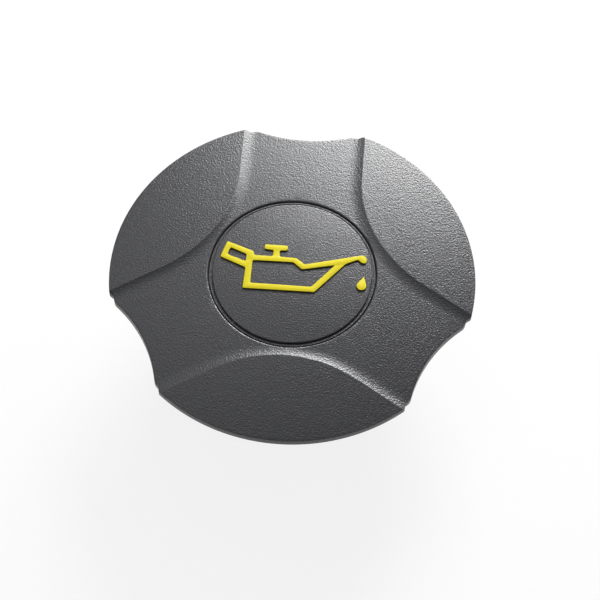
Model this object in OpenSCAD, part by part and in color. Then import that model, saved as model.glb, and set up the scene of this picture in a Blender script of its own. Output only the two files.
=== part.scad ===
// Oil filler cap with a three-lobed grip and a quarter-turn plug.
// All lengths are in millimetres. The origin is the centre of the face that the filler neck seats on,
// and +Z runs up along the cap's axis. Scallops of the grip lie at 90, 210 and 330 degrees.

/* [Grip top] */
// Diameter across the three raised lobes
lobe_d = 74; // [73:0.5:80]
// How far the lobes stand out past the base plate
lobe_overhang = 0.8; // [0.4:0.1:1.2]
// Height of the lobes' overhanging underside above the plate's underside
lobe_lift = 0.35; // [0.25:0.05:0.4]
// Radius of each scallop between two lobes
scallop_r = 29; // [26:0.5:32]
// Depth of each scallop below the lobe circle
scallop_depth = 4; // [3:0.25:5]
// Dome radius of the channel floor
floor_dome_r = 230; // [210:5:260]
// Dome radius of the lobes
lobe_dome_r = 290; // [260:5:330]
// Width of the channel floor between the fillets of two lobes
channel_w = 22; // [20:0.5:24]
// Radius of the fillet between channel floor and lobe
crest_fillet = 2.6; // [2:0.1:3.2]
// Height of the lobe crest above the floor, nearest the centre
crest_step = 0.4; // [0.3:0.05:0.6]
// Rounding of the lobes' outer edge
rim_round = 0.6; // [0.3:0.1:0.8]
// Height of the disc's top face above the neck seat
top_z = 11; // [10:0.5:14]
// Depth of the plate's flat underside below the disc's top face
plate_depth = 3.1; // [3:0.1:4]

/* [Centre disc] */
// Diameter of the disc's top face
disc_d = 32.4; // [31.4:0.2:33]
// Width of the sunken step round the disc
disc_step_w = 0.65; // [0.4:0.05:0.9]
// Depth of the sunken step
disc_step_h = 0.7; // [0.5:0.1:0.9]
// Thickness of the disc
disc_t = 1.5; // [1.3:0.1:1.8]
// Gap between the disc and its recess
disc_gap = 0.1; // [0.05:0.05:0.2]
// Rounding of the recess lip and the disc edge
lip_round = 0.35; // [0.2:0.05:0.4]
// Drop of the channel floor's lip below the disc's top face
lip_drop = 0.2; // [0.1:0.05:0.4]
// Diameter of the pegs under the disc
peg_d = 3; // [2.5:0.1:4]
// Distance of the pegs from the axis
peg_at = 8.5; // [7:0.5:9]
// Gap round each peg in its hole
peg_gap = 0.05; // [0.05:0.05:0.1]

/* [Symbol] */
// Width of the whole symbol as a share of the disc's diameter
symbol_share = 0.91; // [0.85:0.01:0.92]
// Width of the symbol's strokes
stroke_w = 1.18; // [1:0.02:1.3]
// Height of the symbol above the disc
symbol_rise = 0.35; // [0.2:0.05:0.5]
// Depth of the symbol's seat in the disc
symbol_seat = 0.5; // [0.3:0.1:0.8]
// Radius of the oil drop
drop_r = 0.98; // [0.8:0.02:1.1]

/* [Skirt and hub] */
// Outer diameter of the skirt
skirt_d = 54; // [53:0.5:56]
// Wall of the skirt
skirt_wall = 2.2; // [1.8:0.1:2.5]
// Depth of the skirt below the neck seat
skirt_below = 6; // [4:0.5:8]
// Outer diameter of the hub
hub_d = 30; // [29:0.5:32]
// Bore of the hub
hub_bore = 24; // [22:0.5:25]
// Thickness of the webs and ribs
web_t = 1.8; // [1.4:0.1:2.4]
// Reach of the outer ribs past the skirt
rib_reach = 5.5; // [4:0.5:6]
// Depth of the outer ribs
rib_depth = 9; // [6:0.5:10]
// Angle from a lobe's middle to each of its two ribs
rib_angle = 22; // [18:1:26]

/* [Plug] */
// Diameter of the plug's flange
flange_d = 48.4; // [47.4:0.2:48.8]
// Thickness of the flange
flange_t = 2; // [1.6:0.1:2.4]
// Diameter of the collar that centres the plug in the neck
collar_d = 40; // [39:0.2:41]
// Length of the collar below the neck seat
collar_len = 5; // [4:0.5:6]
// Diameter of the stem below the collar
stem_d = 35.2; // [34:0.2:36]
// Length of the plug below the neck seat
plug_len = 18; // [17:0.5:22]
// Wall of the stem
stem_wall = 2.2; // [1.8:0.1:2.6]
// Height of the solid web under the flange
plug_web_t = 1.6; // [1.2:0.1:2]
// Thickness of the cross ribs inside the stem
cross_t = 2; // [1.6:0.1:2.6]
// Distance from the plug's end to the cross ribs
cross_back = 2; // [1:0.5:4]
// Gap between the spigot and the hub's bore
spigot_gap = 0.1; // [0.05:0.05:0.2]
// Gap between the spigot's top and the grip's plate
spigot_room = 0.3; // [0.1:0.1:0.6]
// Height of the snap bead on the spigot
bead_h = 0.35; // [0.25:0.05:0.5]
// Width of the drive keys
key_w = 4; // [3:0.5:5]
// Height of the drive keys
key_h = 2; // [1.5:0.1:2.5]
// Gap round each drive key
key_gap = 0.1; // [0.05:0.05:0.2]
// Setback of the drive keys from the hub's outer face
key_back = 0.4; // [0.2:0.1:0.8]

/* [Bayonet lugs] */
// Gap between the lug circle and the collar circle
lug_inset = 0.1; // [0.05:0.05:0.4]
// Depth of the lugs' upper face below the neck seat
lug_drop = 9; // [8:0.5:10]
// Height of the lugs
lug_h = 4; // [3:0.25:5]
// Arc that each lug spans in degrees
lug_arc = 44; // [36:1:56]
// Slope of the lead-in ramp in degrees
lug_ramp = 12; // [8:1:16]

/* [Seal] */
// Thickness of the sealing ring
seal_t = 2.6; // [2:0.1:3]
// Outer diameter of the sealing ring
seal_d = 47.6; // [46.6:0.2:48]
// How far the ring's seat stands out past the collar
seal_seat = 0.4; // [0.3:0.1:0.6]
// Gap between the ring and its seat
seal_gap = 0.05; // [0.05:0.05:0.1]

/* [Hidden] */
$fn = 180;
fine = 480;
fuse = 0.2;
past = 1;

lobe_angles = [30, 150, 270];
scallop_angles = [90, 210, 330];
moulding_black = [0.16, 0.16, 0.17];
symbol_yellow = [0.87, 0.79, 0.10];
seal_black = [0.08, 0.08, 0.08];

// Grip levels and radii
lobe_r = lobe_d / 2;
plate_r = lobe_r - lobe_overhang;
plate_z = top_z - plate_depth;
recess_r = disc_d / 2 + disc_step_w + disc_gap;
recess_z = top_z - disc_t;
lip_r = recess_r + lip_round;
lip_z = top_z - lip_drop;
skirt_r = skirt_d / 2;
skirt_bore_r = skirt_r - skirt_wall;

// Centre of the channel floor's dome
floor_dome_z = lip_z - sqrt(pow(floor_dome_r, 2) - pow(lip_r, 2));

// A lobe's foot line in its own plan, with the lobe's middle on +X: a round nose between two straight
// flanks, each flank parallel to the channel beside it. Each entry holds a point and its inward normal.
nose_r = (lip_r * cos(30) - channel_w / 2) / (1 - cos(30));
nose_x = lip_r + nose_r;
nose_turns = [for (turn = [-30:3:30]) turn];
flank_len = lobe_r * 0.6;
flank_steps = 6;
function nose_point(turn) = [
    nose_x - nose_r * cos(turn), nose_r * sin(turn), cos(turn), -sin(turn)
];
function flank_point(side, run) = nose_point(30 * side) + run * [cos(60), side * sin(60), 0, 0];
foot_line = concat(
    [for (i = [flank_steps:-1:1]) flank_point(-1, flank_len * i / flank_steps)],
    [for (turn = nose_turns) nose_point(turn)],
    [for (i = [1:flank_steps]) flank_point(1, flank_len * i / flank_steps)]
);

// The fillet leaves the floor at a slight slope and steepens to the crest
fillet_turns = [for (turn = [10:10:60]) turn];
foot_run = 0.8;
foot_drop = 0.15;
function floor_height(radius) = floor_dome_z + sqrt(pow(floor_dome_r, 2) - pow(radius, 2));
function fillet_run(turn) = crest_fillet * (sin(turn) - sin(fillet_turns[0]));
function fillet_rise(turn) = crest_fillet * (cos(fillet_turns[0]) - cos(turn));

// The crest is where the lobe's dome meets the fillet nearest the centre
crest_turn = acos(cos(fillet_turns[0]) - crest_step / crest_fillet);
crest_r = lip_r + fillet_run(crest_turn);
crest_z = floor_height(lip_r) + crest_step;
lobe_dome_z = crest_z - sqrt(pow(lobe_dome_r, 2) - pow(crest_r, 2));
rim_lift = 0.04;

// Plug levels and radii
flange_z = seal_t;
hub_z = flange_z + flange_t;
collar_r = collar_d / 2;
seat_r = collar_r + seal_seat;
stem_r = stem_d / 2;
stem_bore_r = stem_r - stem_wall;
spigot_r = hub_bore / 2 - spigot_gap;
spigot_top = plate_z - spigot_room;
bead_z = (hub_z + spigot_top) / 2;
lug_r = collar_r - lug_inset;

// Corners of the oil can's strokes in the plan, drawn at a width of its own and scaled to the disc
drawn_w = 29.46;
drawn = disc_d * symbol_share / drawn_w;
can_base = drawn * [[10.2, 2.9], [4.5, -3.83], [-8.85, -3.83], [-8.85, 3.5]];
can_top = drawn * [[-8.85, 2.67], [0.35, 2.67], [2.15, 1.27], [13.75, 4.2], [14.25, 3.35]];
handle_outer = drawn * [[-13.6, 6.1], [-8.15, 4.1], [-8.5, 0.2], [-14.7, 2.45]];
handle_window = drawn * [[-12.7, 4.55], [-9.2, 3.28], [-9.2, 1.71], [-13.3, 3.1]];
filler_bar = drawn * [[-5.88, 5.38], [-1.4, 5.38]];
filler_stem = drawn * [[-3.5, 5.38], [-3.5, 2.67]];
drop_at = drawn * [14.08, -2.3];
drop_tip = drawn * [14.45, -0.15];

// Corners of one side of a stroke, mitred where it bends: "side" is 1 for its left and -1 for its right
function heading(points, i) = (points[i + 1] - points[i]) / norm(points[i + 1] - points[i]);
function left_of(v) = [-v[1], v[0]];
function stroke_side(points, side) = [
    for (i = [0:len(points) - 1])
        let (
            before = heading(points, max(i - 1, 0)),
            after = heading(points, min(i, len(points) - 2)),
            both = left_of(before) + left_of(after)
        )
            points[i] + side * stroke_w * both / (both * both)
];

// Stroke of the symbol along a row of corners
module stroke(points) {
    back = stroke_side(points, -1);
    polygon(concat(
        stroke_side(points, 1),
        [for (i = [len(points) - 1:-1:0]) back[i]]
    ));
}

module can_outline() {
    stroke(can_base);
    stroke(can_top);
    stroke(filler_bar);
    stroke(filler_stem);
    difference() {
        polygon(handle_outer);
        polygon(handle_window);
    }
}

// A circle and the two lines that run from its tangent points to the tip
module drop_outline() {
    reach = drop_tip - drop_at;
    half = acos(drop_r / norm(reach));
    turn = atan2(reach[1], reach[0]);
    translate(drop_at)
        circle(r = drop_r, $fn = 64);
    polygon([
        drop_at,
        drop_at + drop_r * [cos(turn - half), sin(turn - half)],
        drop_tip,
        drop_at + drop_r * [cos(turn + half), sin(turn + half)]
    ]);
}

// Round plate that stands on a level, with a domed top
module domed_plate(radius, level, dome_centre, dome_radius) {
    intersection() {
        translate([0, 0, dome_centre])
            sphere(r = dome_radius, $fn = fine);
        translate([0, 0, level])
            cylinder(r = radius, h = plate_depth + 2 * past);
    }
}

// Ring that cuts a rounded edge on a domed plate
module edge_cutter(radius, dome_centre, dome_radius, round_r) {
    edge_z = dome_centre + sqrt(pow(dome_radius, 2) - pow(radius - round_r, 2)) + rim_lift - round_r;
    rotate_extrude()
        difference() {
            translate([radius - round_r, edge_z])
                square(plate_depth);
            translate([radius - round_r, edge_z])
                circle(r = round_r, $fn = 48);
        }
}

// Ring of points round a lobe, shifted inward from the foot line and set at a height that follows the
// floor, or at one level where "level" is given
function lobe_ring(run, rise, level) = [
    for (p = foot_line)
        [
            p[0] + run * p[2],
            p[1] + run * p[3],
            is_undef(level) ? floor_height(norm([p[0], p[1]])) + rise : level
        ]
];

// Lobe with its flared sides, taller than the dome that trims it
module lobe_body() {
    rings = concat(
        [lobe_ring(-foot_run, 0, plate_z - past), lobe_ring(-foot_run, -foot_drop)],
        [for (turn = fillet_turns) lobe_ring(fillet_run(turn), fillet_rise(turn))],
        [lobe_ring(fillet_run(fillet_turns[len(fillet_turns) - 1]), 0, top_z + 2 * past)]
    );
    count = len(foot_line);
    nose = flank_steps + floor(len(nose_turns) / 2);
    last = len(rings) - 1;
    polyhedron(
        points = [for (ring = rings) for (p = ring) p],
        faces = concat(
            [[for (i = [count:-1:1]) (nose + i) % count]],
            [[for (i = [0:count - 1]) last * count + (nose + i) % count]],
            [
                for (k = [0:last - 1], i = [0:count - 1], half = [0, 1])
                    let (j = (i + 1) % count, low = k * count, high = low + count)
                        half == 0 ? [low + i, high + j, high + i] : [low + i, low + j, high + j]
            ]
        )
    );
}

// The lobe at angle 0, trimmed to its dome and edge
module lobe() {
    difference() {
        intersection() {
            domed_plate(lobe_r, plate_z + lobe_lift, lobe_dome_z, lobe_dome_r);
            lobe_body();
        }
        edge_cutter(lobe_r, lobe_dome_z, lobe_dome_r, rim_round);
    }
}

module base_plate() {
    difference() {
        domed_plate(plate_r, plate_z, floor_dome_z, floor_dome_r);
        edge_cutter(plate_r, floor_dome_z, floor_dome_r, rim_round / 2);
        for (angle = scallop_angles)
            rotate([0, 0, angle])
                translate([lobe_r - scallop_depth + scallop_r, 0, plate_z - past])
                    cylinder(r = scallop_r, h = plate_depth + 4 * past);
    }
}

// Recess for the centre disc, with a rounded lip
module disc_recess() {
    rotate_extrude()
        difference() {
            translate([0, recess_z])
                square([lip_r, plate_depth + past]);
            translate([lip_r, lip_z - lip_round])
                circle(r = lip_round, $fn = 48);
            translate([recess_r, recess_z - past])
                square([lip_r, lip_z - lip_round - recess_z + past]);
        }
}

module peg_holes() {
    for (angle = lobe_angles)
        rotate([0, 0, angle])
            translate([peg_at, 0, plate_z - past])
                cylinder(d = peg_d + 2 * peg_gap, h = plate_depth + 2 * past, $fn = 48);
}

// Skirt, hub and the webs between them
module underside() {
    rotate_extrude() {
        translate([skirt_bore_r, -skirt_below])
            square([skirt_wall, plate_z + skirt_below + fuse]);
        translate([hub_bore / 2, hub_z])
            square([(hub_d - hub_bore) / 2, plate_z - hub_z + fuse]);
    }
    for (angle = [0:60:300])
        rotate([0, 0, angle])
            translate([hub_d / 2 - web_t / 2, -web_t / 2, hub_z])
                cube([skirt_bore_r - hub_d / 2 + web_t, web_t, plate_z - hub_z + fuse]);
    for (angle = lobe_angles, side = [-1, 1])
        rotate([0, 0, angle + side * rib_angle])
            outer_rib();
}

// Gusset from the skirt out under a lobe
module outer_rib() {
    in = skirt_r - skirt_wall / 2;
    out = skirt_r + rib_reach;
    rotate([90, 0, 0])
        translate([0, 0, -web_t / 2])
            linear_extrude(web_t)
                polygon([
                    [in, plate_z + fuse],
                    [out, plate_z + fuse],
                    [out, plate_z - rib_depth / 5],
                    [skirt_r + rib_reach / 4, plate_z - rib_depth],
                    [in, plate_z - rib_depth]
                ]);
}

// Groove that the plug's bead snaps into, and slots for its drive keys
module hub_cuts() {
    rotate_extrude()
        translate([hub_bore / 2, bead_z])
            circle(r = bead_h + spigot_gap / 2, $fn = 48);
    for (angle = scallop_angles)
        rotate([0, 0, angle])
            translate([0, -key_w / 2 - key_gap, hub_z - past])
                cube([hub_d / 2 + past, key_w + 2 * key_gap, key_h + key_gap + past]);
}

module grip() {
    color(moulding_black)
        difference() {
            union() {
                base_plate();
                for (angle = lobe_angles)
                    rotate([0, 0, angle])
                        lobe();
                underside();
            }
            disc_recess();
            peg_holes();
            hub_cuts();
        }
}

module centre_disc() {
    step_r = disc_d / 2 + disc_step_w;
    color(moulding_black)
        difference() {
            union() {
                rotate_extrude() {
                    translate([0, recess_z])
                        square([step_r, disc_t - disc_step_h]);
                    translate([0, recess_z])
                        square([disc_d / 2, disc_t - lip_round]);
                    translate([0, recess_z])
                        square([disc_d / 2 - lip_round, disc_t]);
                    translate([disc_d / 2 - lip_round, top_z - lip_round])
                        circle(r = lip_round, $fn = 48);
                }
                for (angle = lobe_angles)
                    rotate([0, 0, angle])
                        translate([peg_at, 0, plate_z])
                            cylinder(d = peg_d, h = recess_z - plate_z + fuse, $fn = 48);
            }
            translate([0, 0, top_z - symbol_seat])
                linear_extrude(symbol_seat + past) {
                    can_outline();
                    drop_outline();
                }
        }
}

module oil_can_symbol() {
    color(symbol_yellow)
        translate([0, 0, top_z - symbol_seat])
            linear_extrude(symbol_seat + symbol_rise)
                can_outline();
}

module oil_drop_symbol() {
    color(symbol_yellow)
        translate([0, 0, top_z - symbol_seat])
            linear_extrude(symbol_seat + symbol_rise)
                drop_outline();
}

// One lug: a sector of a ring whose leading end is cut to a ramp on its upper side
module lug() {
    difference() {
        rotate([0, 0, -lug_arc / 2])
            rotate_extrude(angle = lug_arc)
                translate([stem_r - stem_wall / 2, -lug_drop - lug_h])
                    square([lug_r - stem_r + stem_wall / 2, lug_h]);
        rotate([0, 0, -lug_arc / 4])
            translate([stem_r, 0, -lug_drop])
                rotate([lug_ramp, 0, 0])
                    translate([fuse / 2, -lug_r, 0])
                        cube([lug_r, lug_r, lug_h]);
    }
}

module drive_keys() {
    for (angle = scallop_angles)
        rotate([0, 0, angle])
            translate([spigot_r - stem_wall / 2, -key_w / 2, hub_z - fuse])
                cube([hub_d / 2 - key_back - spigot_r + stem_wall / 2, key_w, key_h + fuse]);
}

module bayonet_plug() {
    color(moulding_black)
        difference() {
            union() {
                rotate_extrude() {
                    translate([0, flange_z])
                        square([flange_d / 2, flange_t]);
                    translate([0, hub_z - fuse])
                        square([spigot_r, spigot_top - hub_z + fuse]);
                    translate([spigot_r, bead_z])
                        circle(r = bead_h, $fn = 48);
                    square([seat_r, flange_z + fuse]);
                    translate([0, -collar_len])
                        square([collar_r, collar_len + fuse]);
                    translate([0, -plug_len])
                        square([stem_r, plug_len - collar_len + fuse]);
                }
                drive_keys();
                for (angle = lobe_angles)
                    rotate([0, 0, angle])
                        lug();
            }
            translate([0, 0, -plug_len - past])
                cylinder(r = stem_bore_r, h = plug_len + past + flange_z - plug_web_t);
            translate([0, 0, hub_z])
                cylinder(r = spigot_r - stem_wall, h = plate_z);
        }
    color(moulding_black)
        intersection() {
            translate([0, 0, -plug_len + cross_back])
                cylinder(r = stem_bore_r + fuse, h = plug_len + flange_z);
            for (turn = [0, 90])
                rotate([0, 0, turn])
                    translate([-stem_r, -cross_t / 2, -plug_len + cross_back])
                        cube([2 * stem_r, cross_t, plug_len - cross_back + flange_z - plug_web_t + fuse]);
        }
}

module sealing_ring() {
    color(seal_black)
        rotate_extrude()
            translate([seat_r + seal_gap, 0])
                square([seal_d / 2 - seat_r - seal_gap, seal_t]);
}

grip();
centre_disc();
oil_can_symbol();
oil_drop_symbol();
bayonet_plug();
sealing_ring();
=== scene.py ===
import math

import bmesh
import bpy
from mathutils import Matrix, Vector


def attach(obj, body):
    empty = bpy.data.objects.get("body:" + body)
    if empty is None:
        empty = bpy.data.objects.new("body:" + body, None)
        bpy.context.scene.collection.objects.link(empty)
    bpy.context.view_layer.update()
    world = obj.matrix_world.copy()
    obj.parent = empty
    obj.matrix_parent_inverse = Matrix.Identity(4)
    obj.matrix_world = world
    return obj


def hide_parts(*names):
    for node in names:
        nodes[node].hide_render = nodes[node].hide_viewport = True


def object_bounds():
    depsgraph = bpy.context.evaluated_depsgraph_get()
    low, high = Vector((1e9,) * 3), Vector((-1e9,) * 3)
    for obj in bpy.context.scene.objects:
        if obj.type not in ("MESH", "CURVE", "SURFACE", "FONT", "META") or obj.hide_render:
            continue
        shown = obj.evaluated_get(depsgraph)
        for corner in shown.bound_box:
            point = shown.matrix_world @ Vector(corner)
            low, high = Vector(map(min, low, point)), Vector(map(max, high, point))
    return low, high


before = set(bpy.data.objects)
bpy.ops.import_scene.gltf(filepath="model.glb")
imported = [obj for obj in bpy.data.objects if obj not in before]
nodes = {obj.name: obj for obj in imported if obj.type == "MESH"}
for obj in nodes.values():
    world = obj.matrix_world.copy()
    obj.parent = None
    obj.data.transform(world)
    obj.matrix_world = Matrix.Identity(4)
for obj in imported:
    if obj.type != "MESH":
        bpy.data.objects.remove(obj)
cad_low, cad_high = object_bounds()

# GRIP
# The cap's handle: one moulding of black nylon with three raised lobes, a round recess for the disc,
# and a skirt, a hub and ribs below. The steel tool that shaped its top was spark-eroded to a fine grain.

LOBE_R = 37.0
PLATE_R = 36.2
LIP_R = 17.3
RECESS_R = 16.95
RECESS_Z = 9.5
LIP_Z = 10.8
PLATE_Z = 7.9
LOBE_BOTTOM_Z = 8.25
SCALLOP_R = 29.0
SCALLOP_AT = 62.0
SHOULDER_R = 2.0
CHANNEL_HALF = 11.0
DOME_R = 340.0
FILLET_R = 8.0
FILLET_LEAD = 0.9
CREST_STEP = 0.43
CREST_SOFT = 0.05
CORNER_RUN = 1.5
EDGE_ROUND = 0.3

NOSE_R = (LIP_R * math.cos(math.radians(30)) - CHANNEL_HALF) / (1 - math.cos(math.radians(30)))
NOSE_X = LIP_R + NOSE_R
NOSE_RUN = NOSE_R * math.radians(30)
FLANK_START = Vector((NOSE_X - NOSE_R * math.cos(math.radians(30)), NOSE_R * 0.5))
FLANK_WAY = Vector((0.5, math.cos(math.radians(30))))
FLANK_IN = Vector((math.cos(math.radians(30)), -0.5))


def floor_z(reach):
    """Height of the channels' floor, a shallow dome, at a distance from the axis."""
    return LIP_Z - math.sqrt(DOME_R ** 2 - LIP_R ** 2) + math.sqrt(DOME_R ** 2 - reach ** 2)


def past_foot(p):
    """How far a point lies inside the line that the lobe's side follows."""
    q = Vector((p.x, abs(p.y)))
    if (q - FLANK_START).dot(FLANK_WAY) > 0:
        return (q - FLANK_START).dot(FLANK_IN)
    return NOSE_R - (q - Vector((NOSE_X, 0))).length


CREST_RUN = math.sqrt(2 * FILLET_R * CREST_STEP - CREST_STEP ** 2)


def top_z(p):
    """Height of the grip's top: channel floor, fillet or lobe, with a soft crest between the last two."""
    run = min(max(past_foot(p) + FILLET_LEAD, 0), CREST_RUN * 1.3)
    side = FILLET_R - math.sqrt(FILLET_R ** 2 - run ** 2)
    blend = max(CREST_SOFT - abs(side - CREST_STEP), 0)
    return floor_z(p.length) + min(side, CREST_STEP) - blend ** 2 / (4 * CREST_SOFT)


def smooth(x):
    """0 up to 0, 1 from 1 on, and a smooth step between."""
    x = min(max(x, 0), 1)
    return x * x * (3 - 2 * x)


def foot(run):
    """Point of the foot line, and the way into the lobe there."""
    if run < NOSE_RUN:
        turn = run / NOSE_R
        way = Vector((math.cos(turn), -math.sin(turn)))
        return Vector((NOSE_X, 0)) - NOSE_R * way, way
    return FLANK_START + (run - NOSE_RUN) * FLANK_WAY, FLANK_IN


def channel_point(along, aside):
    """Point given along the channel's middle line and aside from it, towards the lobe."""
    return along * FLANK_WAY + aside * FLANK_IN


SHOULDER_AT = math.acos(
    (SCALLOP_AT ** 2 + (PLATE_R - SHOULDER_R) ** 2 - (SCALLOP_R + SHOULDER_R) ** 2)
    / (2 * SCALLOP_AT * (PLATE_R - SHOULDER_R))
)
SHOULDER_X = (PLATE_R - SHOULDER_R) * math.cos(SHOULDER_AT)
SHOULDER_Y = (PLATE_R - SHOULDER_R) * math.sin(SHOULDER_AT)
TANGENT_Y = SHOULDER_Y * SCALLOP_R / (SCALLOP_R + SHOULDER_R)


def edge_point(aside):
    """Point of the grip's outline at a distance aside from the channel's middle line."""
    if aside < TANGENT_Y:
        along = SCALLOP_AT - math.sqrt(SCALLOP_R ** 2 - aside ** 2)
    elif aside < PLATE_R * math.sin(SHOULDER_AT):
        along = SHOULDER_X + math.sqrt(max(SHOULDER_R ** 2 - (aside - SHOULDER_Y) ** 2, 0))
    else:
        reach = PLATE_R + (LOBE_R - PLATE_R) * smooth((aside - CHANNEL_HALF) / CORNER_RUN)
        along = math.sqrt(reach ** 2 - aside ** 2)
    return channel_point(along, aside)


FOOT_END = NOSE_RUN + math.sqrt(PLATE_R ** 2 - CHANNEL_HALF ** 2) - FLANK_START.dot(FLANK_WAY)
MIDDLE_END = SCALLOP_AT - SCALLOP_R
LAST_ASIDE = 14.6
RIM_TURN = math.radians(60) - math.asin(LAST_ASIDE / LOBE_R)

CHANNEL_STOPS = [0, 0.12, 0.24, 0.36, 0.48, 0.6, 0.7, 0.78, 0.84, 0.88, 0.92, 0.96, 1]
FILLET_STOPS = [0.1, 0.2, 0.3, 0.4, 0.5, 0.6, 0.7, 0.8, 0.88]
CREST_STOPS = [-0.16, -0.1, -0.05, 0, 0.05, 0.1, 0.16, 0.26]
LOBE_STOPS = [0.1, 0.2, 0.3, 0.4, 0.5, 0.6, 0.7, 0.8, 0.9, 0.96, 1]
ROW_STOPS = [i / 26 for i in range(25)] + [0.945, 0.965, 0.982, 1]


def middle_point(share):
    """Point opposite the foot line: round the disc's recess first, then along the channel's middle."""
    round_run = LIP_R * math.radians(60)
    run = share * (round_run + MIDDLE_END - LIP_R)
    if run < round_run:
        turn = run / LIP_R
        return LIP_R * Vector((math.cos(turn), math.sin(turn)))
    return (LIP_R + run - round_run) * FLANK_WAY


def grid_point(share, column):
    """Plan position of a grid corner, share of the way out along the foot line and in a given column."""
    base, way = foot(share * FOOT_END)
    run = CREST_RUN - FILLET_LEAD
    late = smooth((share - 0.55) / 0.45)
    channel, fillet, crest = len(CHANNEL_STOPS), len(FILLET_STOPS), len(CREST_STOPS)
    if column < channel:
        t = CHANNEL_STOPS[column]
        end = edge_point(t * CHANNEL_HALF)
        here = middle_point(share).lerp(base, t)
        last = middle_point(1).lerp(foot(FOOT_END)[0], t)
        return here + late * (end - last)
    column -= channel
    if column < fillet + crest:
        d = FILLET_STOPS[column] * run if column < fillet else run + CREST_STOPS[column - fillet]
        here = base + d * way
        last_base, last_way = foot(FOOT_END)
        return here + smooth((share - 0.85) / 0.15) * (edge_point(CHANNEL_HALF + d) - last_base - d * last_way)
    t = LOBE_STOPS[column - fillet - crest]
    start = base + (run + CREST_STOPS[-1]) * way
    turn = RIM_TURN * share ** 1.3
    rim = LOBE_R * Vector((math.cos(turn), math.sin(turn)))
    here = start.lerp(rim, t)
    last_start = foot(FOOT_END)[0] + (run + CREST_STOPS[-1]) * foot(FOOT_END)[1]
    last_rim = edge_point(LAST_ASIDE)
    aside = CHANNEL_HALF + run + CREST_STOPS[-1]
    end = edge_point(aside + (LAST_ASIDE - aside) * t)
    return here + smooth((share - 0.85) / 0.15) * (end - last_start.lerp(last_rim, t))


def new_piece(name, bm, sharp=35):
    """Turns a bmesh in millimetres into a smooth-shaded object in metres that rides on the cap."""
    bmesh.ops.scale(bm, vec=(0.001, 0.001, 0.001), verts=bm.verts)
    mesh = bpy.data.meshes.new(name)
    bm.to_mesh(mesh)
    bm.free()
    mesh.shade_smooth()
    mesh.set_sharp_from_angle(angle=math.radians(sharp))
    piece = bpy.data.objects.new(name, mesh)
    bpy.context.scene.collection.objects.link(piece)
    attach(piece, "root")
    return piece


def spun(bm, profile, steps, closed=True, turn=360, start=0):
    """Turns a profile of (radius, height) corners about the cap's axis."""
    corners = [bm.verts.new((r, 0, z)) for r, z in profile]
    edges = [bm.edges.new((a, b)) for a, b in zip(corners, corners[1:])]
    if closed:
        edges.append(bm.edges.new((corners[-1], corners[0])))
    bmesh.ops.rotate(bm, verts=corners, cent=(0, 0, 0), matrix=Matrix.Rotation(math.radians(start), 3, "Z"))
    made = bmesh.ops.spin(
        bm, geom=corners + edges, axis=(0, 0, 1), cent=(0, 0, 0),
        angle=math.radians(turn), steps=steps, use_merge=turn == 360,
    )
    return corners, edges, made["geom_last"]


columns = len(CHANNEL_STOPS) + len(FILLET_STOPS) + len(CREST_STOPS) + len(LOBE_STOPS)
rows = len(ROW_STOPS)
grip_mesh = bmesh.new()
bmesh.ops.create_grid(grip_mesh, x_segments=rows - 1, y_segments=columns - 1, size=1)
for corner in grip_mesh.verts:
    row = round((corner.co.x + 1) / 2 * (rows - 1))
    column = round((corner.co.y + 1) / 2 * (columns - 1))
    place = grid_point(ROW_STOPS[row], column)
    corner.co = (place.x, place.y, top_z(place))
half = list(grip_mesh.verts) + list(grip_mesh.edges) + list(grip_mesh.faces)
bmesh.ops.mirror(grip_mesh, geom=half, matrix=Matrix.Identity(4), merge_dist=0.0005, axis="Y")
bmesh.ops.spin(
    grip_mesh, geom=list(grip_mesh.verts) + list(grip_mesh.edges) + list(grip_mesh.faces),
    axis=(0, 0, 1), cent=(0, 0, 0), angle=math.radians(240), steps=2, use_duplicate=True,
)
bmesh.ops.rotate(
    grip_mesh, verts=grip_mesh.verts, cent=(0, 0, 0), matrix=Matrix.Rotation(math.radians(30), 3, "Z"),
)
bmesh.ops.remove_doubles(grip_mesh, verts=grip_mesh.verts, dist=0.002)
bmesh.ops.recalc_face_normals(grip_mesh, faces=grip_mesh.faces)
if sum(face.normal.z for face in grip_mesh.faces) < 0:
    bmesh.ops.reverse_faces(grip_mesh, faces=grip_mesh.faces)


BETWEEN_RIMS_R = 23.5


def open_loop(bm, inside):
    """Open edges of the grip's top: those round the recess, or those along its outline."""
    return [e for e in bm.edges if e.is_boundary and (e.verts[0].co.xy.length < BETWEEN_RIMS_R) == inside]


def pulled(bm, edges, shift):
    """Extrudes a loop of edges and moves each new corner as shift says. Returns the new edges."""
    new = bmesh.ops.extrude_edge_only(bm, edges=edges)["geom"]
    for corner in (v for v in new if isinstance(v, bmesh.types.BMVert)):
        corner.co = shift(corner.co)
    return [e for e in new if isinstance(e, bmesh.types.BMEdge) and e.is_boundary]


def drawn_in(corner):
    """Moves a corner that stands out past the plate's radius in to it."""
    return Vector((*(corner.xy * min(1, PLATE_R / corner.xy.length)), corner.z))


rim = open_loop(grip_mesh, False)
wall = pulled(grip_mesh, rim, lambda c: Vector((c.x, c.y, LOBE_BOTTOM_Z)))
wall = pulled(grip_mesh, wall, drawn_in)
wall = pulled(grip_mesh, wall, lambda c: Vector((c.x, c.y, PLATE_Z)))
bmesh.ops.remove_doubles(grip_mesh, verts=grip_mesh.verts, dist=0.002)
wall = [e for e in grip_mesh.edges if e.is_boundary and e.verts[0].co.z < PLATE_Z + 0.01]
bmesh.ops.contextual_create(grip_mesh, geom=wall)

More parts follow.
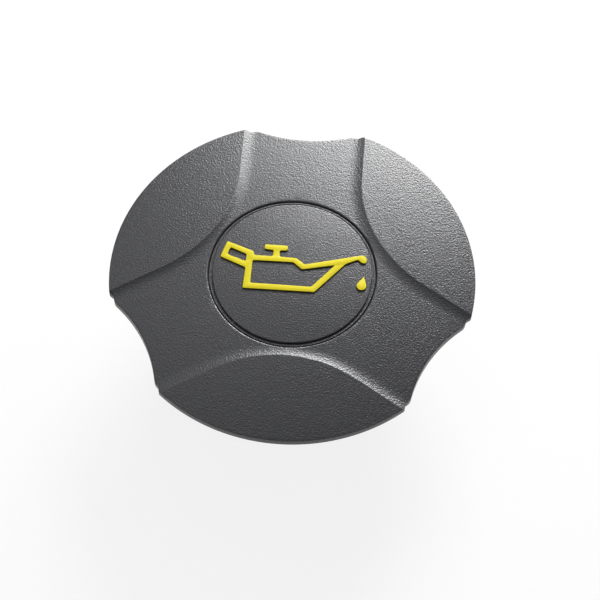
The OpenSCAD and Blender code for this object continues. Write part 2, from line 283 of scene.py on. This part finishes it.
lip = open_loop(grip_mesh, True)
for turn in (20, 40, 60, 80, 90):
    reach = RECESS_R + (LIP_R - RECESS_R) * (1 - math.sin(math.radians(turn)))
    level = LIP_Z - (LIP_R - RECESS_R) * (1 - math.cos(math.radians(turn)))
    lip = pulled(grip_mesh, lip, lambda c: Vector((*(c.xy * reach / c.xy.length), level)))
lip = pulled(grip_mesh, lip, lambda c: Vector((c.x, c.y, RECESS_Z)))
bmesh.ops.contextual_create(grip_mesh, geom=lip)
rim_edges = [
    e for e in grip_mesh.edges
    if len(e.link_faces) == 2 and e.verts[0].co.xy.length > 30 and e.verts[1].co.xy.length > 30
    and min(f.normal.z for f in e.link_faces) < 0.1 and max(f.normal.z for f in e.link_faces) > 0.5
    and min(v.co.z for v in e.verts) > LOBE_BOTTOM_Z + 0.05
]
bmesh.ops.bevel(
    grip_mesh, geom=rim_edges, offset=EDGE_ROUND, offset_type="OFFSET",
    segments=4, profile=0.5, affect="EDGES", material=-1, clamp_overlap=True,
)

# The skirt guards the filler neck, the hub holds the plug, and the ribs carry the lobes.
SKIRT_R, SKIRT_BORE_R, SKIRT_Z = 27.0, 24.8, -6.0
HUB_R, HUB_BORE_R, HUB_Z = 15.0, 12.0, 4.6
WEB_T = 1.8
KEY_HALF = 2.1
under_mesh = bmesh.new()
spun(under_mesh, [
    (SKIRT_BORE_R, SKIRT_Z + 0.3), (SKIRT_BORE_R + 0.3, SKIRT_Z), (SKIRT_R - 0.3, SKIRT_Z),
    (SKIRT_R, SKIRT_Z + 0.3), (SKIRT_R, PLATE_Z + 0.2), (SKIRT_BORE_R, PLATE_Z + 0.2),
], 180)
slot_turn = math.degrees(math.asin(KEY_HALF / HUB_R))
for angle in (90, 210, 330):
    _, edges, last = spun(under_mesh, [
        (HUB_BORE_R, HUB_Z), (HUB_R, HUB_Z), (HUB_R, PLATE_Z + 0.2), (HUB_BORE_R, PLATE_Z + 0.2),
        (HUB_BORE_R, 6.5), (HUB_BORE_R + 0.4, 6.1), (HUB_BORE_R, 5.7),
    ], 36, turn=120 - 2 * slot_turn, start=angle + slot_turn)
    bmesh.ops.contextual_create(under_mesh, geom=edges)
    bmesh.ops.contextual_create(under_mesh, geom=[e for e in last if isinstance(e, bmesh.types.BMEdge)])
for angle in range(0, 360, 60):
    block = bmesh.ops.create_cube(under_mesh, size=1)["verts"]
    web_size = (SKIRT_BORE_R - HUB_R + 1.2, WEB_T, PLATE_Z - HUB_Z + 0.2)
    web_middle = ((HUB_R + SKIRT_BORE_R) / 2, 0, (PLATE_Z + HUB_Z + 0.2) / 2)
    bmesh.ops.scale(under_mesh, vec=web_size, verts=block)
    bmesh.ops.translate(under_mesh, vec=web_middle, verts=block)
    bmesh.ops.rotate(
        under_mesh, verts=block, cent=(0, 0, 0), matrix=Matrix.Rotation(math.radians(angle), 3, "Z"),
    )
RIB_REACH, RIB_DEPTH = 5.5, 9.0
for angle in (30, 150, 270):
    for side in (-22, 22):
        corners = [under_mesh.verts.new(c) for c in (
            (SKIRT_R - 1.1, -WEB_T / 2, PLATE_Z + 0.2), (SKIRT_R + RIB_REACH, -WEB_T / 2, PLATE_Z + 0.2),
            (SKIRT_R + RIB_REACH, -WEB_T / 2, PLATE_Z - RIB_DEPTH / 5),
            (SKIRT_R + RIB_REACH / 4, -WEB_T / 2, PLATE_Z - RIB_DEPTH),
            (SKIRT_R - 1.1, -WEB_T / 2, PLATE_Z - RIB_DEPTH),
        )]
        face = under_mesh.faces.new(corners)
        made = bmesh.ops.extrude_face_region(under_mesh, geom=[face])["geom"]
        far = [v for v in made if isinstance(v, bmesh.types.BMVert)]
        bmesh.ops.translate(under_mesh, vec=(0, WEB_T, 0), verts=far)
        bmesh.ops.rotate(
            under_mesh, verts=corners + far, cent=(0, 0, 0),
            matrix=Matrix.Rotation(math.radians(angle + side), 3, "Z"),
        )
bmesh.ops.recalc_face_normals(under_mesh, faces=under_mesh.faces)
under_part = bpy.data.meshes.new("underside")
under_mesh.to_mesh(under_part)
under_mesh.free()
grip_mesh.from_mesh(under_part)
bpy.data.meshes.remove(under_part)
grip = new_piece("grip_moulding", grip_mesh)
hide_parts("grip")


class Sum:
    """A shader socket that can be added, multiplied and compared as a number."""

    def __init__(self, tree, socket):
        self.tree, self.socket = tree, socket

    def node(self, kind, settings=None, **inputs):
        """Adds a node: its settings first, then the values or links of its sockets. Returns its outputs."""
        made = self.tree.nodes.new(kind)
        for name, value in (settings or {}).items():
            if name == "stops":
                ramp = made.color_ramp.elements
                while len(ramp) < len(value):
                    ramp.new(0.5)
                for stop, (at, shade) in zip(ramp, value):
                    stop.position, stop.color = at, (shade, shade, shade, 1)
            else:
                setattr(made, name, value)
        for name, value in inputs.items():
            plug = made.inputs[int(name[1:]) if name[0] == "_" else name.replace("_", " ")]
            if isinstance(value, Sum):
                self.tree.links.new(value.socket, plug)
            else:
                plug.default_value = value
        return [Sum(self.tree, out) for out in made.outputs]

    def maths(self, operation, *values):
        """The result of one operation on sockets and numbers."""
        plugs = {f"_{i}": value for i, value in enumerate(values)}
        return self.node("ShaderNodeMath", {"operation": operation}, **plugs)[0]

    def __add__(self, other):
        return self.maths("ADD", self, other)

    __radd__ = __add__

    def __mul__(self, other):
        return self.maths("MULTIPLY", self, other)

    __rmul__ = __mul__

    def __sub__(self, other):
        return self.maths("SUBTRACT", self, other)

    def __rsub__(self, other):
        return self.maths("SUBTRACT", other, self)

    def between(self, low, high):
        """0 below low, 1 above high and a smooth step between."""
        smoothed = {"interpolation_type": "SMOOTHSTEP"}
        return self.node("ShaderNodeMapRange", smoothed, Value=self, From_Min=low, From_Max=high)[0]

    def mixed(self, first, second):
        """The first colour where this is 0, the second where it is 1, and a blend between."""
        return self.node("ShaderNodeMix", {"data_type": "RGBA"}, _0=self, _6=first, _7=second)[2]


def new_material(name):
    """An empty node material: returns it, a Sum to build on, its shader and the object coordinates."""
    material = bpy.data.materials.new(name)
    material.use_nodes = True
    tree = material.node_tree
    shader = tree.nodes["Principled BSDF"]
    start = Sum(tree, None)
    place = start.node("ShaderNodeTexCoord")[3]
    return material, start, shader, place


def link(tree, value, plug):
    """Feeds a Sum into a socket of a node that stands already."""
    tree.links.new(value.socket, plug)


GRAIN_COLOUR = (0.025, 0.025, 0.028, 1)
GRAIN_WORN = (0.034, 0.035, 0.040, 1)
grained, build, shader, place = new_material("grained_nylon")
grain = build.node("ShaderNodeTexNoise", Vector=place, Scale=3000.0, Detail=1.0, Roughness=0.6)[0]
cloud = build.node("ShaderNodeTexNoise", Vector=place, Scale=60.0, Detail=3.0, Roughness=0.5)[0]
tint = grain.between(0.35, 0.68).mixed(GRAIN_COLOUR, GRAIN_WORN)
link(grained.node_tree, tint, shader.inputs["Base Color"])
link(grained.node_tree, 0.24 + grain * 0.12 + cloud * 0.04, shader.inputs["Roughness"])
bump = build.node("ShaderNodeBump", Strength=1.0, Distance=0.000075, Height=grain)[0]
link(grained.node_tree, bump, shader.inputs["Normal"])
grip.data.materials.append(grained)

# CENTRE DISC
# A thin round plate of the same grained nylon, pegged into the recess. A low ledge runs round its edge,
# set off by a fine groove, and with the gap to the grip it makes the double dark line round the sign.

DISC_R, RING_R, DISC_OUTER_R = 16.15, 16.4, 16.8
DISC_TOP, RING_Z, GROOVE_Z, DISC_BOTTOM = 11.0, 10.62, 10.5, 9.5
DISC_ROUND = 0.2
disc_mesh = bmesh.new()
profile = [(0, DISC_TOP), (DISC_R - DISC_ROUND, DISC_TOP)]
for turn in (18, 36, 54, 72, 90):
    profile.append((
        DISC_R - DISC_ROUND + DISC_ROUND * math.sin(math.radians(turn)),
        DISC_TOP - DISC_ROUND + DISC_ROUND * math.cos(math.radians(turn)),
    ))
profile += [
    (DISC_R + 0.02, GROOVE_Z), (RING_R - 0.02, GROOVE_Z), (RING_R, RING_Z - 0.05), (RING_R + 0.05, RING_Z),
    (DISC_OUTER_R - 0.05, RING_Z), (DISC_OUTER_R, RING_Z - 0.05), (DISC_OUTER_R, DISC_BOTTOM), (0, DISC_BOTTOM),
]
spun(disc_mesh, profile, 240, closed=False)
bmesh.ops.remove_doubles(disc_mesh, verts=disc_mesh.verts, dist=0.001)
bmesh.ops.recalc_face_normals(disc_mesh, faces=disc_mesh.faces)
disc = new_piece("disc_plate", disc_mesh)
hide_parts("centre_disc")
disc.data.materials.append(grained)

# SIGN
# The oil can and its drop: raised strokes moulded on the disc, with bright yellow foil pressed on
# their tops only, so that their flanks stay black.

SIGN_BOTTOM, SIGN_TOP = 10.9, 11.35
CAN_OUTLINE = [
    (10.65, 2.6), (13.05, 3.75), (13.85, 3.0), (14.65, 2.95), (14.9, 4.05), (14.05, 4.85), (2.35, 1.8),
    (0.6, 3.15), (-2.85, 3.25), (-2.9, 4.7), (-1.3, 4.8), (-1.3, 5.9), (-6.0, 5.95), (-6.0, 4.85),
    (-4.1, 4.7), (-4.2, 3.25), (-7.95, 3.25), (-8.15, 4.15), (-13.65, 6.1), (-14.8, 2.4), (-9.5, 0.25),
    (-9.7, -4.55), (4.7, -4.45),
]
CAN_WINDOW = [(8.5, 2.1), (4.05, -3.28), (-8.25, -3.25), (-8.2, 2.05), (0.05, 2.15), (1.9, 0.6)]
HANDLE_WINDOW = [(-9.5, 3.35), (-9.55, 1.65), (-13.4, 3.05), (-12.9, 4.7)]
DROP_AT, DROP_R, DROP_TIP = Vector((14.08, -2.3)), 0.98, Vector((14.45, -0.15))


def raised(name, outlines, corner_round):
    """Fills closed outlines as one flat shape, rounds its corners, and raises it into a stroke."""
    bm = bmesh.new()
    for outline in outlines:
        corners = [bm.verts.new((x, y, SIGN_BOTTOM)) for x, y in outline]
        for a, b in zip(corners, corners[1:] + corners[:1]):
            bm.edges.new((a, b))
    if corner_round:
        bmesh.ops.bevel(
            bm, geom=bm.verts, offset=corner_round, offset_type="OFFSET",
            segments=3, profile=0.5, affect="VERTICES", material=-1,
        )
    bmesh.ops.triangle_fill(bm, edges=bm.edges, use_beauty=True)
    bmesh.ops.recalc_face_normals(bm, faces=bm.faces)
    made = bmesh.ops.extrude_face_region(bm, geom=bm.faces)["geom"]
    top = [v for v in made if isinstance(v, bmesh.types.BMVert)]
    bmesh.ops.translate(bm, vec=(0, 0, SIGN_TOP - SIGN_BOTTOM), verts=top)
    bmesh.ops.recalc_face_normals(bm, faces=bm.faces)
    edge = [
        e for e in bm.edges
        if len(e.link_faces) == 2 and sum(abs(f.normal.z) > 0.5 for f in e.link_faces) == 1
        and e.verts[0].co.z > SIGN_TOP - 0.01
    ]
    bmesh.ops.bevel(
        bm, geom=edge, offset=0.05, offset_type="OFFSET", segments=2, profile=0.5, affect="EDGES", material=-1,
    )
    return new_piece(name, bm, 50)


can = raised("oil_can_strokes", [CAN_OUTLINE, CAN_WINDOW, HANDLE_WINDOW], 0.3)
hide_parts("oil_can_symbol")
reach = DROP_TIP - DROP_AT
side = math.acos(DROP_R / reach.length)
aim = math.atan2(reach.y, reach.x)
drop_outline = [tuple(DROP_TIP)]
for i in range(33):
    turn = aim + side + (2 * math.pi - 2 * side) * i / 32
    drop_outline.append((DROP_AT.x + DROP_R * math.cos(turn), DROP_AT.y + DROP_R * math.sin(turn)))
drop = raised("oil_drop_stroke", [drop_outline], 0)
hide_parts("oil_drop_symbol")

YELLOW = (0.70, 0.60, 0.004, 1)
YELLOW_DULL = (0.58, 0.48, 0.003, 1)
FLANK = (0.035, 0.032, 0.012, 1)
foil, build, shader, place = new_material("yellow_foil")
normal = build.node("ShaderNodeTexCoord")[1]
up = build.node("ShaderNodeSeparateXYZ", _0=normal)[2]
mottle = build.node("ShaderNodeTexNoise", Vector=place, Scale=900.0, Detail=2.0, Roughness=0.5)[0]
yellow = (mottle.between(0.3, 0.7) * 0.35).mixed(YELLOW, YELLOW_DULL)
shade = up.between(0.1, 0.4).mixed(FLANK, yellow)
link(foil.node_tree, shade, shader.inputs["Base Color"])
link(foil.node_tree, 0.55 + mottle * 0.1, shader.inputs["Roughness"])
shader.inputs["Specular IOR Level"].default_value = 0.25
bump = build.node("ShaderNodeBump", Strength=0.15, Distance=0.00005, Height=mottle)[0]
link(foil.node_tree, bump, shader.inputs["Normal"])
for piece in (can, drop):
    piece.data.materials.append(foil)

# PLUG AND SEAL
# The plug is a second moulding, plain off the tool, with three lugs that lock in the filler neck.
# The seal is a flat ring of moulded rubber, held in its seat under the plug's flange.

plain, build, shader, place = new_material("plain_nylon")
swirl = build.node("ShaderNodeTexNoise", Vector=place, Scale=400.0, Detail=3.0, Roughness=0.55)[0]
tint = swirl.between(0.3, 0.7).mixed((0.03, 0.03, 0.031, 1), (0.042, 0.042, 0.043, 1))
link(plain.node_tree, tint, shader.inputs["Base Color"])
link(plain.node_tree, 0.34 + swirl * 0.14, shader.inputs["Roughness"])
bump = build.node("ShaderNodeBump", Strength=0.2, Distance=0.00005, Height=swirl)[0]
link(plain.node_tree, bump, shader.inputs["Normal"])

rubber, build, shader, place = new_material("seal_rubber")
bloom = build.node("ShaderNodeTexNoise", Vector=place, Scale=250.0, Detail=4.0, Roughness=0.6)[0]
tint = bloom.between(0.35, 0.7).mixed((0.016, 0.016, 0.016, 1), (0.028, 0.028, 0.027, 1))
link(rubber.node_tree, tint, shader.inputs["Base Color"])
link(rubber.node_tree, 0.62 + bloom * 0.2, shader.inputs["Roughness"])
bump = build.node("ShaderNodeBump", Strength=0.25, Distance=0.00008, Height=bloom)[0]
link(rubber.node_tree, bump, shader.inputs["Normal"])
for name, finish in (("bayonet_plug", plain), ("sealing_ring", rubber)):
    nodes[name].data.materials.clear()
    nodes[name].data.materials.append(finish)

# FLOOR, LIGHT AND CAMERA
# A white paper sweep under the plug's end, a near soft lamp like a window low behind the cap, a weak
# one above, and a dim even room.

FLOOR_R, SWEEP_R, WALL_TOP = 900, 400, 750
sweep = [(0, 0), (FLOOR_R, 0)]
for turn in range(10, 91, 10):
    sweep.append((
        FLOOR_R + SWEEP_R * math.sin(math.radians(turn)), SWEEP_R * (1 - math.cos(math.radians(turn))),
    ))
sweep.append((FLOOR_R + SWEEP_R, WALL_TOP))
floor_mesh = bmesh.new()
spun(floor_mesh, [(r, z + cad_low.z * 1000) for r, z in sweep], 72, closed=False)
bmesh.ops.remove_doubles(floor_mesh, verts=floor_mesh.verts, dist=0.01)
bmesh.ops.recalc_face_normals(floor_mesh, faces=floor_mesh.faces)
bmesh.ops.scale(floor_mesh, vec=(0.001, 0.001, 0.001), verts=floor_mesh.verts)
floor_data = bpy.data.meshes.new("floor")
floor_mesh.to_mesh(floor_data)
floor_mesh.free()
floor_data.shade_smooth()
floor = bpy.data.objects.new("floor", floor_data)
bpy.context.scene.collection.objects.link(floor)
white = bpy.data.materials.new("white_floor")
white.use_nodes = True
tree = white.node_tree
tree.nodes["Principled BSDF"].inputs["Base Color"].default_value = (0.9, 0.9, 0.9, 1)
tree.nodes["Principled BSDF"].inputs["Roughness"].default_value = 0.9
start = Sum(tree, None)
rays = start.node("ShaderNodeLightPath")
looked_at = start.maths("MAXIMUM", start.maths("MAXIMUM", rays[0], rays[3]), rays[6])
glow = start.node("ShaderNodeEmission", Color=(1, 1, 1, 1), Strength=1.0)[0]
plain_floor = Sum(tree, tree.nodes["Principled BSDF"].outputs[0])
backdrop = start.node("ShaderNodeMixShader", _0=looked_at * 0.85, _1=plain_floor, _2=glow)[0]
link(tree, backdrop, tree.nodes["Material Output"].inputs["Surface"])
floor.data.materials.append(white)

world = bpy.data.worlds.new("room")
bpy.context.scene.world = world
world.use_nodes = True
tree = world.node_tree
room = tree.nodes["Background"]
room.inputs["Color"].default_value = (1, 1, 1, 1)
room.inputs["Strength"].default_value = 0.22


def soft_lamp(name, azimuth, elevation, distance, size, power):
    """An area lamp aimed at the cap, azimuth counted from +X towards +Y."""
    a, e = math.radians(azimuth), math.radians(elevation)
    way = Vector((math.cos(a) * math.cos(e), math.sin(a) * math.cos(e), math.sin(e)))
    lamp = bpy.data.lights.new(name, "AREA")
    lamp.shape, lamp.size, lamp.energy = "DISK", size, power
    stand = bpy.data.objects.new(name, lamp)
    stand.location = way * distance
    stand.rotation_mode = "QUATERNION"
    stand.rotation_quaternion = way.to_track_quat("Z", "Y")
    bpy.context.scene.collection.objects.link(stand)


soft_lamp("window", 80, 31, 0.45, 0.23, 3.35)
soft_lamp("ceiling", 120, 60, 0.9, 0.6, 1)

CAMERA_TURN = math.radians(3.596)
CAMERA_DIP = math.radians(60.47)
CAMERA_ROLL = math.radians(0.728)
CAMERA_DISTANCE = 0.38118
CAMERA_AIM = Vector((0.001622, -0.006252, 0))
AIM_HEIGHT = 0.0107
FOCAL_PIXELS, PICTURE_PIXELS, SENSOR_WIDTH = 1906.314, 600, 36
look = Vector((0, math.cos(CAMERA_DIP), -math.sin(CAMERA_DIP)))
level = Vector((1, 0, 0))
raised_way = level.cross(look)
right = math.cos(CAMERA_ROLL) * level + math.sin(CAMERA_ROLL) * raised_way
above = math.cos(CAMERA_ROLL) * raised_way - math.sin(CAMERA_ROLL) * level
eye = CAMERA_AIM - look * CAMERA_DISTANCE
swing = Matrix.Rotation(CAMERA_TURN, 3, "Z")
camera_data = bpy.data.cameras.new("camera")
camera_data.lens = FOCAL_PIXELS / PICTURE_PIXELS * SENSOR_WIDTH
camera_data.sensor_width = SENSOR_WIDTH
camera_data.clip_start, camera_data.clip_end = 0.01, 10
camera = bpy.data.objects.new("camera", camera_data)
bpy.context.scene.collection.objects.link(camera)
axes = Matrix((swing @ right, swing @ above, swing @ -look)).transposed()
camera.matrix_world = Matrix.Translation(swing @ eye + Vector((0, 0, AIM_HEIGHT))) @ axes.to_4x4()
bpy.context.scene.camera = camera
bpy.context.scene.view_settings.view_transform = "Standard"
